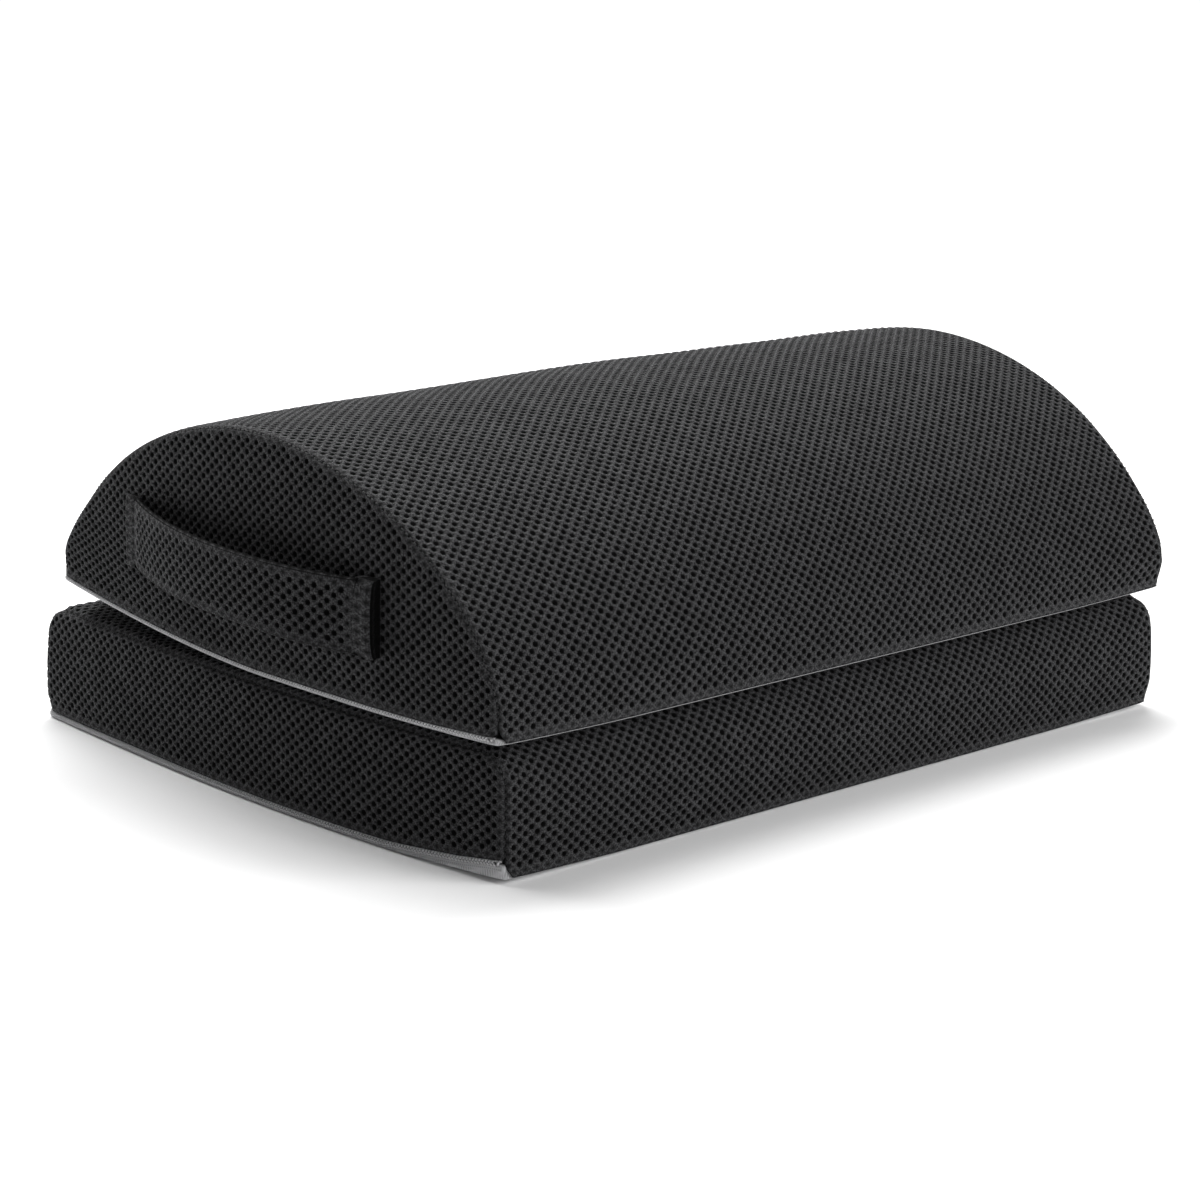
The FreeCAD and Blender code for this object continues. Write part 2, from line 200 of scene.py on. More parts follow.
def mesh_material(name):
    """Knitted air mesh: strands of fine yarn run both ways between the holes. The strands' tops are painted
    lighter, a painted highlight, and the colour falls darker towards the holes, painted shade; a point attribute
    paints the holes' depths, the panels' edges and lips and the strap's fold slits near black, as painted shade.
    """
    material, shader = new_material(name, MESH_COLOUR, 0.62)
    shader.inputs["Sheen Weight"].default_value = 0.03
    shader.inputs["Sheen Roughness"].default_value = 0.30
    shader.inputs["Sheen Tint"].default_value = (0.80, 0.81, 0.83, 1)
    shader.inputs["Specular IOR Level"].default_value = 0.13
    nodes = Nodes(material)
    cloth = nodes.attribute("cloth", "Vector")
    slant = math.hypot(HOLE_PITCH / 2, ROW_PITCH)
    gap = HOLE_PITCH * ROW_PITCH / slant
    across = (ROW_PITCH / slant, HOLE_PITCH / 2 / slant)
    strands, yarns = [], []
    for lean in (1, -1):
        direction = (across[0], lean * across[1], 0)
        strands.append(nodes.ridges(cloth, direction, gap, -math.pi / 2))
        yarns.append(nodes.ridges(cloth, direction, gap / 3, -math.pi / 2))
    strand = nodes.math("MAXIMUM", *strands)
    yarn = nodes.math("MAXIMUM", *yarns)
    patch = nodes.noise(cloth, 0.11, 3.0, 0.6)
    fibre = nodes.noise(cloth, 1.15, 4.0, 0.75)
    speckle = nodes.math("MULTIPLY", nodes.math("SUBTRACT", fibre, 0.40), 4.5, clamp=True)
    # the net's colour: lighter on the strands' tops, a painted highlight, and darker towards the holes, painted
    # shade; yarn ridges and patches add grain and random tone, and the speckle's light spots are partly fibre
    # grain, partly painted glints
    tone = nodes.math("MULTIPLY", strand, nodes.math("ADD", nodes.math("MULTIPLY", yarn, 0.5), 0.5))
    tone = nodes.math("MULTIPLY", tone, nodes.math("ADD", nodes.math("MULTIPLY", speckle, 0.85), 0.15))
    tone = nodes.math("MULTIPLY", tone, nodes.math("ADD", patch, 0.55), clamp=True)
    net_grain_and_painted_light = nodes.mix(tone, tuple(0.22 * c for c in MESH_COLOUR), tuple(3.6 * c for c in MESH_COLOUR))
    # painted shade: a point attribute, from 0 to 1, paints the holes' depths, the panels' edges and lips and the
    # strap's fold slits near black, and makes the surface fully rough there
    hole = nodes.math("MULTIPLY", nodes.math("SUBTRACT", nodes.attribute("hole"), 0.22), 9.0, clamp=True)
    colour = nodes.mix(hole, net_grain_and_painted_light, PAINTED_SHADE_COLOUR)
    nodes.link(colour, shader.inputs["Base Color"])
    shine = nodes.math("SUBTRACT", 0.95, nodes.math("MULTIPLY", tone, 0.75))
    nodes.link(nodes.mix(hole, shine, (1, 1, 1)), shader.inputs["Roughness"])
    height = nodes.math("ADD", nodes.math("MULTIPLY", yarn, 0.4), nodes.math("MULTIPLY", speckle, 0.6))
    nodes.bump(nodes.math("ADD", height, strand), 0.6, 0.0004, shader)
    return material


def woven_material(name, colour, pitch):
    """Plain weave: warp and weft ridges in turn, with fibre noise."""
    material, shader = new_material(name, colour, 0.85)
    shader.inputs["Sheen Weight"].default_value = 0.2
    nodes = Nodes(material)
    cloth = nodes.attribute("cloth", "Vector")
    warp = nodes.ridges(cloth, (1, 0, 0), pitch)
    weft = nodes.ridges(cloth, (0, 1, 0), pitch)
    weave = nodes.math("MAXIMUM", nodes.math("MULTIPLY", warp, 0.9), weft)
    fibre = nodes.noise(cloth, 3.0, 4.0, 0.7)
    tone = nodes.math("MULTIPLY", weave, nodes.math("ADD", fibre, 0.3), clamp=True)
    nodes.link(nodes.mix(tone, *tones(colour, 0.35)), shader.inputs["Base Color"])
    nodes.bump(nodes.math("ADD", weave, fibre), 0.5, 0.0002, shader)
    return material


def noisy_material(name, colour, roughness, scale, contrast=0.25, metallic=0.0, bump=0.25):
    """Solid material with tone and roughness that vary over the surface, and a fine grain."""
    material, shader = new_material(name, colour, roughness)
    shader.inputs["Metallic"].default_value = metallic
    nodes = Nodes(material)
    place = nodes.place()
    broad = nodes.noise(place, scale, 3.0, 0.6)
    fine = nodes.noise(place, scale * 9, 3.0, 0.6)
    tone = nodes.math("ADD", nodes.math("MULTIPLY", broad, 0.6), nodes.math("MULTIPLY", fine, 0.4))
    nodes.link(nodes.mix(tone, *tones(colour, contrast)), shader.inputs["Base Color"])
    rough = nodes.math("ADD", nodes.math("MULTIPLY", tone, 0.24), roughness - 0.12)
    nodes.link(rough, shader.inputs["Roughness"])
    nodes.bump(fine, bump, 0.00015, shader)
    return material


COVER = mesh_material("cover_mesh")
STRAP = mesh_material("strap_mesh")
UNDERSIDE = woven_material("underside_fabric", (0.42, 0.42, 0.43), 1.3)
TAPE = woven_material("zip_tape", (0.30, 0.30, 0.305), 1.1)
COIL = noisy_material("zip_coil", (0.52, 0.52, 0.53), 0.42, 400.0)
METAL = noisy_material("zip_metal", (0.42, 0.42, 0.43), 0.32, 300.0, metallic=0.9)
THREAD = noisy_material("sewing_thread", (0.010, 0.010, 0.011), 0.5, 900.0, contrast=0.4)
FOAM = noisy_material("foam", (0.80, 0.77, 0.68), 0.95, 500.0, bump=0.8)
HOOKS = noisy_material("hook_and_loop", (0.02, 0.02, 0.021), 0.9, 1500.0, contrast=0.6, bump=0.9)


# ------------------------------------------------------------------ meshes

def add_object(name, data):
    obj = bpy.data.objects.new(name, data)
    bpy.context.scene.collection.objects.link(obj)
    return obj


def make_object(name, points, faces, material, body):
    """Mesh object from points in millimetres."""
    mesh = bpy.data.meshes.new(name)
    mesh.from_pydata([tuple(p) for p in np.asarray(points, float) * MM], [], faces)
    mesh.validate()
    mesh.update()
    mesh.materials.append(material)
    mesh.shade_smooth()
    obj = add_object(name, mesh)
    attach(obj, body)
    return obj


def set_attribute(mesh, name, values):
    values = np.asarray(values, np.float32)
    kind = "FLOAT_VECTOR" if values.ndim == 2 else "FLOAT"
    layer = mesh.attributes.new(name, kind, "POINT")
    layer.data.foreach_set("vector" if values.ndim == 2 else "value", values.ravel())


def set_cloth(obj, flat):
    """Each vertex's flat place on its cloth, in millimetres, which the materials' patterns follow."""
    set_attribute(obj.data, "cloth", np.column_stack([flat, np.zeros(len(flat))]))


def set_map(mesh, flat):
    """UV map for baking, from one flat place for each vertex."""
    flat = np.asarray(flat, float)[:, :2]
    low, high = flat.min(0), flat.max(0)
    unit = (flat - low) / (high - low).max() * 0.98 + 0.01
    layer = mesh.uv_layers.new(name="OFBake")
    corners = np.empty(len(mesh.loops), np.int32)
    mesh.loops.foreach_get("vertex_index", corners)
    layer.data.foreach_set("uv", unit[corners].astype(np.float32).ravel())


def face_normals_at_points(points, triangles):
    a, b, c = (points[triangles[:, k]] for k in range(3))
    cross = np.cross(b - a, c - a)
    normals = np.zeros_like(points)
    for k in range(3):
        np.add.at(normals, triangles[:, k], cross)
    length = np.linalg.norm(normals, axis=1, keepdims=True)
    return normals / np.maximum(length, 1e-12)


def edge_distance(points, outline):
    """Distance from each flat point to the outline, positive inside."""
    nearest = np.full(len(points), 1e9)
    inside = np.zeros(len(points), bool)
    for a, b in zip(outline, np.roll(outline, -1, axis=0)):
        d = b - a
        t = np.clip(((points - a) @ d) / max(d @ d, 1e-12), 0, 1)
        away = np.linalg.norm(points - a - t[:, None] * d, axis=1)
        nearest = np.minimum(nearest, away)
        crosses = (a[1] > points[:, 1]) != (b[1] > points[:, 1])
        with np.errstate(divide="ignore", invalid="ignore"):
            at = a[0] + (points[:, 1] - a[1]) * d[0] / d[1]
        inside ^= crosses & (points[:, 0] < at)
    return np.where(inside, nearest, -nearest)


def divide_outline(corners, step):
    """Points round a closed outline, no further apart than step."""
    out = []
    for a, b in zip(corners, np.roll(corners, -1, axis=0)):
        count = max(1, int(math.ceil(np.linalg.norm(b - a) / step)))
        out.extend(a + (b - a) * k / count for k in range(count))
    return np.array(out)


def wobble(points, size, seed):
    """Small repeatable unevenness, from -size to size."""
    dot = points @ np.array([12.9898 + seed, 78.233 - seed])
    return (np.modf(np.abs(np.sin(dot) * 43758.5453))[0] * 2 - 1) * size


def ring_inside(outline, gap):
    """The outline's points moved inwards, without those that end up too near another side."""
    ahead, behind = np.roll(outline, -1, axis=0), np.roll(outline, 1, axis=0)
    run = ahead - behind
    inward = np.stack([-run[:, 1], run[:, 0]], 1)
    inward /= np.maximum(np.linalg.norm(inward, axis=1, keepdims=True), 1e-9)
    moved = outline + inward * gap
    return moved[edge_distance(moved, outline) > 0.85 * gap]


def counter_clockwise(outline):
    after = np.roll(outline, -1, axis=0)
    area = np.sum(outline[:, 0] * after[:, 1] - after[:, 0] * outline[:, 1])
    return outline if area > 0 else outline[::-1]


def air_mesh_panel(name, corners, shape, inside, material, body, lip=PANEL_LIP, scale=1.0,
                   fade=SEAM_FADE, closed=None):
    """One panel of air mesh. corners is its flat outline, shape maps flat points to space, and
    closed tells how far the holes are shut at flat points, from 0 to 1."""
    outline = divide_outline(counter_clockwise(np.asarray(corners, float)), 2.6)
    low, high = outline.min(0), outline.max(0)
    pitch, row = HOLE_PITCH * scale, ROW_PITCH * scale
    top = pitch / 4 - row * row / pitch
    side = pitch / 2 - top
    columns = int((high[0] - low[0]) / pitch) + 2
    rows = int((high[1] - low[1]) / row) + 2
    cells = np.array([(low[0] + (i + (j % 2) / 2) * pitch, low[1] + j * row)
                      for j in range(rows) for i in range(columns)])
    mesh_corners = np.concatenate([cells + (side, 0), cells - (side, 0)])
    mesh_corners = np.unique(np.round(mesh_corners, 3), axis=0)
    mesh_corners = mesh_corners[edge_distance(mesh_corners, outline) > EDGE_RINGS[-1] + 0.7]
    room = edge_distance(cells, outline)
    keep = room > EDGE_RINGS[-1] + 1.2
    cells, room = cells[keep], room[keep]
    open_by = smooth(*fade, room)
    if closed is not None:
        open_by = open_by * (1 - closed(cells))
    open_by = np.clip(open_by * (1 + wobble(cells, 0.10, 0.0)), 0.03, 1.05)

    angles = np.arange(6) * math.pi / 3
    around = np.stack([np.cos(angles), np.sin(angles)], 1)
    radius = HOLE_RADIUS * scale * (0.62 + 0.38 * np.clip(open_by, 0, 1)) * (1 + wobble(cells, 0.06, 3.0))
    centres = cells + np.stack([wobble(cells, 0.10, 5.0), wobble(cells, 0.10, 7.0)], 1)
    rims = (centres[:, None] + around[None] * radius[:, None, None]).reshape(-1, 2)
    rings = [ring_inside(outline, gap) for gap in EDGE_RINGS]

    flat = np.concatenate([outline, *rings, mesh_corners, rims, centres])
    count = len(outline)
    start_centre = len(flat) - len(centres)
    start_rim = start_centre - len(rims)
    depth = np.zeros(len(flat))
    # painted shade: each point's share of the near-black colour, for the holes' depths and, below, the panel's edge
    hole = np.zeros(len(flat))
    depth[start_rim:start_centre] = -RIM_DEPTH * np.repeat(open_by, 6)
    hole[start_rim:start_centre] = 0.25 * np.repeat(open_by, 6)
    depth[start_centre:] = -HOLE_DEPTH * open_by
    hole[start_centre:] = np.clip(open_by * 1.1, 0, 1)
    # the outline and the first ring in from it are painted dark too, painted shade along the seams and edges
    hole[:count] = 0.34
    hole[count:count + len(rings[0])] = 0.235
    fence = [(k, (k + 1) % count) for k in range(count)]
    result = delaunay_2d_cdt([Vector(p) for p in flat], fence, [], 1, 1e-4, True)
    source = np.array([ids[0] if ids else 0 for ids in result[3]])
    plane = np.array([tuple(v) for v in result[0]])
    triangles = np.array([f for f in result[2] if len(f) == 3], int)
    depth, hole = depth[source], hole[source]

    points = shape(plane)
    normals = face_normals_at_points(points, triangles)
    outward = np.sum((points - inside) * normals) > 0
    if not outward:
        triangles = triangles[:, ::-1]
        normals = -normals
    raised = points + normals * depth[:, None]

    # the edge turns in by a lip, which hides the panel's raw edge
    place = {int(s): k for k, s in enumerate(source) if s < count}
    border = [place[k] for k in range(count) if k in place]
    first, last = len(raised), len(border)
    lips = raised[border] - normals[border] * lip
    faces = triangles.tolist()
    for k in range(last):
        a, b = border[k], border[(k + 1) % last]
        c, d = first + (k + 1) % last, first + k
        faces.append([b, a, d, c] if outward else [a, b, c, d])
    points = np.concatenate([raised, lips])
    cloth = (np.concatenate([plane, plane[border]]) - low) / scale
    obj = make_object(name, points, faces, material, body)
    # the turned-in lip is painted near black, painted shade
    set_attribute(obj.data, "hole", np.concatenate([hole, np.full(last, 0.8)]))
    set_cloth(obj, cloth)
    set_map(obj.data, cloth)
    return obj


# ------------------------------------------------------------------ cushion shape

class Cushion:
    """Outer form of one cushion, in millimetres, as its pieces follow it."""

    def __init__(self, name, bow, half_round, corner_lift):
        low, high = (np.array(v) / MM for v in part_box(name + "_wrap_panel"))
        self.name = name
        self.half_round = half_round
        self.bow = bow
        self.base = float(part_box(name + "_bottom_panel")[0][2]) / MM
        self.half_length = (high[0] - low[0]) / 2 - bow
        self.half_depth = (high[1] - low[1]) / 2
        self.middle_y = (high[1] + low[1]) / 2
        self.height = high[2] - self.base
        self.corner_lift = corner_lift
        self.body = "upper_cushion" if name == "upper" else "lower_pad"
        self.make_profile()

    # ---- cross-section ----

    def make_profile(self):
        w, h = self.half_depth, self.height
        if self.half_round:
            power = 2 / UPPER_ROUNDNESS
            foot = math.asin((UPPER_FLANK / h) ** (1 / power))
            t = np.linspace(foot, math.pi - foot, 2000)
            y = -w * np.sign(np.cos(t)) * (np.abs(np.cos(t)) / math.cos(foot)) ** power
            z = h * np.sin(t) ** power
        else:
            r = LOWER_TOP_ROUND
            t = np.linspace(0, math.pi / 2, 400)
            y = np.concatenate([-w + r - r * np.cos(t), w - r + r * np.sin(t)])
            z = np.concatenate([h - r + r * np.sin(t), h - r + r * np.cos(t)])
        y = np.concatenate([[-w], y, [w]])
        z = np.concatenate([[0.0], z, [0.0]])
        self.arc_y, self.arc_z = y, z
        self.arc_s = np.concatenate([[0], np.cumsum(np.hypot(np.diff(y), np.diff(z)))])
        self.arc_length = self.arc_s[-1]

    def section(self, s):
        return np.interp(s, self.arc_s, self.arc_y), np.interp(s, self.arc_s, self.arc_z)

    def end_x(self, y):
        """Half length at a distance from the middle of the depth."""
        return self.half_length + self.bow * (1 - (np.asarray(y) / self.half_depth) ** 2)

    def soften(self, p):
        """Rounds the upright corners and the ends' top edges, and lifts the rear corners."""
        p = np.array(p, float)
        x, y, z = p[:, 0].copy(), p[:, 1] - self.middle_y, p[:, 2] - self.base

        def round_off(a, b, limit_a, limit_b, radius):
            da = np.abs(a) - (limit_a - radius)
            db = np.abs(b) - (limit_b - radius)
            both = (da > 0) & (db > 0)
            size = np.hypot(da, db)
            keep = np.where(both, np.maximum(da, db) / np.maximum(size, 1e-9), 1)
            new_a = np.where(both, np.sign(a) * (limit_a - radius + da * keep), a)
            new_b = np.where(both, np.sign(b) * (limit_b - radius + db * keep), b)
            return new_a, new_b

        x, y = round_off(x, y, self.end_x(y), self.half_depth, CORNER_ROUND)
        if not self.half_round:
            x, top = round_off(x, np.maximum(z, 0), self.end_x(y), self.height, END_TOP_ROUND)
            z = np.where(z > 0, top, z)
        out = self.flare(x, y) * (1 - smooth(20, 80, z)) * (0.35 + 0.65 * smooth(0, 14, z))
        p[:, 0] = x + np.sign(x) * out
        p[:, 1] = y + np.sign(y) * out + self.middle_y
        p[:, 2] = z + self.lift(x, y) * (1 - smooth(0, 60, z)) + self.base
        return p

    def flare(self, x, y):
        """How far the foot's corners stand out beyond the sewn outline, away from the middle."""
        amount = CORNER_FLARE[self.name]
        near = np.hypot((self.half_length - np.abs(x)) / FLARE_REACH,
                        (self.half_depth - np.abs(y)) / FLARE_REACH)
        which = np.where(x < 0, np.where(y < 0, amount[0], amount[1]), amount[2])
        return which * np.clip(1 - near, 0, 1) ** 1.3

    def lift(self, x, y):
        """How far the underside stands up towards its corners."""
        front, rear = self.corner_lift
        amount = np.where(y < 0, front, rear)
        reach = np.where(y < 0, *LIFT_REACH)
        away = np.hypot((self.half_length - np.abs(x)) / reach, (self.half_depth - np.abs(y)) / reach)
        return amount * np.clip(1 - away, 0, 1) ** 1.6

    # ---- surfaces before the sewing and the stuffing pull them ----

    def softened(self, x, y, z):
        """y is from the middle of the depth, and z is over the base."""
        return self.soften(np.column_stack([x, y + self.middle_y, z + self.base]))

    def wrap_raw(self, flat):
        """flat is (along the cushion, distance over the cross-section from the front's foot)."""
        return self.softened(flat[:, 0], *self.section(flat[:, 1]))

    def end_raw(self, flat, side):
        """flat is (distance across the end, height over the base)."""
        return self.softened(side * self.end_x(flat[:, 0]), flat[:, 0], flat[:, 1])

    def bottom_raw(self, flat):
        return self.softened(flat[:, 0], flat[:, 1], np.zeros(len(flat)))

    def rounded_bottom(self, flat):
        """The underside with its edge rounded up from the ground."""
        inside = np.minimum(self.end_x(flat[:, 1]) - np.abs(flat[:, 0]), self.half_depth - np.abs(flat[:, 1]))
        rounding = BASE_ROUND[self.name] * smooth(5.5, 0.5, inside)
        return self.softened(flat[:, 0], flat[:, 1], rounding)


# ---- the covers' stuffing, by cloth simulation on a coarse closed mesh ----

LENGTH_CELLS = 54
ARC_CELLS = 52
FLANK_CELLS = 5
SWELL_CAP = 5.5
SWELL_STEPS = 20
CLOTH = {"quality": 6, "mass": 0.3, "tension_stiffness": 12, "compression_stiffness": 12,
         "bending_stiffness": 1.5, "use_pressure": True, "uniform_pressure_force": 4.0, "vertex_group_mass": "sewn"}
LOWER_TOP_LIMIT = 57.0        # the upper cushion rests here and keeps the lower pad's top flat


def weld(parts):
    """One mesh from several grids of points, with shared points where they meet."""
    index, points, faces, places = {}, [], [], []
    for grid in parts:
        n, m = grid.shape[:2]
        ids = np.empty((n, m), int)
        for i in range(n):
            for j in range(m):
                key = tuple(np.round(grid[i, j] / 0.02).astype(int))
                if key not in index:
                    index[key] = len(points)
                    points.append(grid[i, j])
                ids[i, j] = index[key]
        places.append(ids)
        for i in range(n - 1):
            for j in range(m - 1):
                face = [ids[i, j], ids[i + 1, j], ids[i + 1, j + 1], ids[i, j + 1]]
                face = [int(v) for k, v in enumerate(face) if v != face[k - 1]]
                if len(face) > 2:
                    faces.append(face)
    return np.array(points), faces, places


def swell(name, points, faces, pinned):
    """Inflates a closed cover a little, with its sewn edges held."""
    mesh = bpy.data.meshes.new(name)
    mesh.from_pydata([tuple(p) for p in points * MM], [], faces)
    work = bmesh.new()
    work.from_mesh(mesh)
    bmesh.ops.recalc_face_normals(work, faces=work.faces)
    work.to_mesh(mesh)
    work.free()
    obj = add_object(name, mesh)
    group = obj.vertex_groups.new(name="sewn")
    group.add([int(k) for k in np.flatnonzero(pinned)], 1.0, "REPLACE")
    cloth = obj.modifiers.new("cloth", "CLOTH")
    for setting, value in CLOTH.items():
        setattr(cloth.settings, setting, value)
    cloth.settings.effector_weights.gravity = 0
    cloth.point_cache.frame_start, cloth.point_cache.frame_end = 1, SWELL_STEPS
    scene = bpy.context.scene
    for step in range(1, SWELL_STEPS + 1):
        scene.frame_set(step)
    shaped = obj.evaluated_get(bpy.context.evaluated_depsgraph_get()).to_mesh()
    after = np.empty(len(points) * 3)
    shaped.vertices.foreach_get("co", after)
    scene.frame_set(1)
    bpy.data.objects.remove(obj)
    move = after.reshape(-1, 3) / MM - points
    size = np.linalg.norm(move, axis=1, keepdims=True)
    return move * np.minimum(1, SWELL_CAP / np.maximum(size, 1e-9))


def spline_on_grid(values, i, j):
    """Smooth value of a grid between its points. The grid's edges keep their own values."""
    n, m = values.shape[:2]
    wide = np.concatenate([2 * values[:1] - values[1:2], values, 2 * values[-1:] - values[-2:-1]])
    wide = np.concatenate([2 * wide[:, :1] - wide[:, 1:2], wide, 2 * wide[:, -1:] - wide[:, -2:-1]], axis=1)

    def weights(t, count):
        whole = np.clip(np.floor(t).astype(int), 0, count - 2)
        f = np.clip(t - whole, 0, 1)
        return whole, ((1 - f) ** 3 / 6, (3 * f ** 3 - 6 * f ** 2 + 4) / 6,
                       (-3 * f ** 3 + 3 * f ** 2 + 3 * f + 1) / 6, f ** 3 / 6)

    i, wi = weights(i, n)
    j, wj = weights(j, m)
    return sum((wi[a] * wj[b])[:, None] * wide[i + a, j + b] for a in range(4) for b in range(4))


def add_swelling(cushion):
    """Works out how far each place of the cover moves as the foam fills it."""
    c = cushion
    flank = c.arc_s[np.flatnonzero(c.arc_z > 0)[0]]
    c.grid_s = np.concatenate([np.linspace(0, flank, FLANK_CELLS + 1)[:-1],
                               np.linspace(flank, c.arc_length - flank, ARC_CELLS + 1),
                               np.linspace(c.arc_length - flank, c.arc_length, FLANK_CELLS + 1)[1:]])
    across = np.linspace(-1, 1, LENGTH_CELLS + 1)
    y_at, z_at = c.section(c.grid_s)
    wrap_flat = np.array([[(u * c.end_x(y), s) for s, y in zip(c.grid_s, y_at)] for u in across])
    wrap = c.wrap_raw(wrap_flat.reshape(-1, 2)).reshape(len(across), len(c.grid_s), 3)
    arc = slice(FLANK_CELLS, FLANK_CELLS + ARC_CELLS + 1)
    c.grid_y, c.grid_top = y_at[arc], z_at[arc]
    share = np.linspace(0, 1, FLANK_CELLS + 1)
    ends = []
    for side in (-1, 1):
        flat = np.array([[(y, t * top) for t in share] for y, top in zip(c.grid_y, c.grid_top)])
        ends.append(c.end_raw(flat.reshape(-1, 2), side).reshape(len(c.grid_y), len(share), 3))
    flat = np.array([[(u * c.end_x(y), y) for y in c.grid_y] for u in across])
    bottom = c.bottom_raw(flat.reshape(-1, 2)).reshape(len(across), len(c.grid_y), 3)
    points, faces, places = weld([wrap, *ends, bottom])
    pinned = np.zeros(len(points), bool)
    pinned[places[3].ravel()] = True
    pinned[places[0][[0, -1]].ravel()] = True
    pinned[places[0][:, [0, -1]].ravel()] = True
    move = np.zeros_like(points)
    move = swell(c.name + "_stuffing", points, faces, pinned)
    move[pinned] = 0
    c.coarse = points + move, faces
    c.wrap_move = move[places[0]]
    c.end_move = {-1: move[places[1]], 1: move[places[2]]}


def sewn_edges(cushion):
    """Points along each end's seam, with the direction in which the stitching pulls them in."""
    c = cushion
    s = np.arange(0, c.arc_length, 1.0)
    y, z = c.section(s)
    step_y, step_z = np.gradient(y), np.gradient(z)
    size = np.hypot(step_y, step_z)
    seams = {}
    for side in (-1, 1):
        away = np.column_stack([np.full(len(s), float(side)), -step_z / size, step_y / size])
        seams[side] = c.wrap_raw(np.column_stack([side * c.end_x(y), s])), -unit(away)
    return seams


SEAM_PULL = ((1.5, 2.2), (1.2, 0.8))   # how deep, and over what distance it fades
SEAM_REACH = 34.0             # further along the cushion than this, nothing is pulled


def pull_seams(cushion, points):
    """Draws the cover in along the end seams."""
    moved = points.copy()
    for side, (line, pulls) in cushion.seams.items():
        near = np.flatnonzero(np.abs(points[:, 0] - side * cushion.half_length) < SEAM_REACH)
        for chunk in np.array_split(near, max(1, len(near) // 4000)):
            away = np.linalg.norm(points[chunk, None] - line[None], axis=2)
            nearest = away.argmin(1)
            gap = away[np.arange(len(chunk)), nearest]
            amount = sum(depth * np.exp(-gap / reach) for depth, reach in SEAM_PULL)
            moved[chunk] += pulls[nearest] * amount[:, None]
    return moved


def uneven(points, size=0.35):
    """Slow, slight unevenness of stuffed fabric."""
    x, y, z = points.T / 37.0
    return size * (np.sin(1.3 * x + 0.7 * y + 0.3) * np.sin(0.9 * y - 1.7 * z + 1.1)
                   + 0.6 * np.sin(2.9 * x - 1.9 * z + 2.0) * np.sin(2.3 * y + 0.5))


def wrap_shape(cushion):
    c = cushion

    def shape(flat):
        y, z = c.section(flat[:, 1])
        i = (flat[:, 0] / c.end_x(y) + 1) / 2 * LENGTH_CELLS
        j = np.interp(flat[:, 1], c.grid_s, np.arange(len(c.grid_s)))
        points = c.wrap_raw(flat) + spline_on_grid(c.wrap_move, i, j)
        points[:, 2] += uneven(points) * smooth(0, 40, c.end_x(y) - np.abs(flat[:, 0])) * smooth(4, 30, z)
        if c.name == "lower":
            points[:, 2] = np.minimum(points[:, 2], LOWER_TOP_LIMIT)
        else:
            across = flat[:, 0] / c.end_x(y)
            points[:, 2] += UPPER_CROWN * (1 - across ** 2) * smooth(0.35, 0.95, z / c.height)
        return pull_seams(c, points)
    return shape


def end_shape(cushion, side):
    c = cushion

    def shape(flat):
        top = np.interp(flat[:, 0], c.grid_y, c.grid_top)
        i = np.interp(flat[:, 0], c.grid_y, np.arange(len(c.grid_y)))
        j = np.clip(flat[:, 1] / top, 0, 1) * FLANK_CELLS
        points = c.end_raw(flat, side) + spline_on_grid(c.end_move[side], i, j)
        inner = smooth(2, 40, top - flat[:, 1]) * smooth(2, 25, flat[:, 1])
        points[:, 0] += side * uneven(points[:, [1, 2, 0]]) * inner
        return pull_seams(c, points)
    return shape


# ---- the zip's run round the foot of a cushion ----

CHAIN_UNDER_HEM = {"lower": 1.5, "upper": 1.1}    # along the left end, where it follows the hem
CHAIN_SQUEEZE = {"lower": 0.60, "upper": 0.42}    # the share of its height that shows there
OUTWARDS = 0.9                # how much nearer the cover's face the zip lies there
PATH_START = 2.0
GROUND_GAP = 0.35             # between the underside and the zip's lowest point


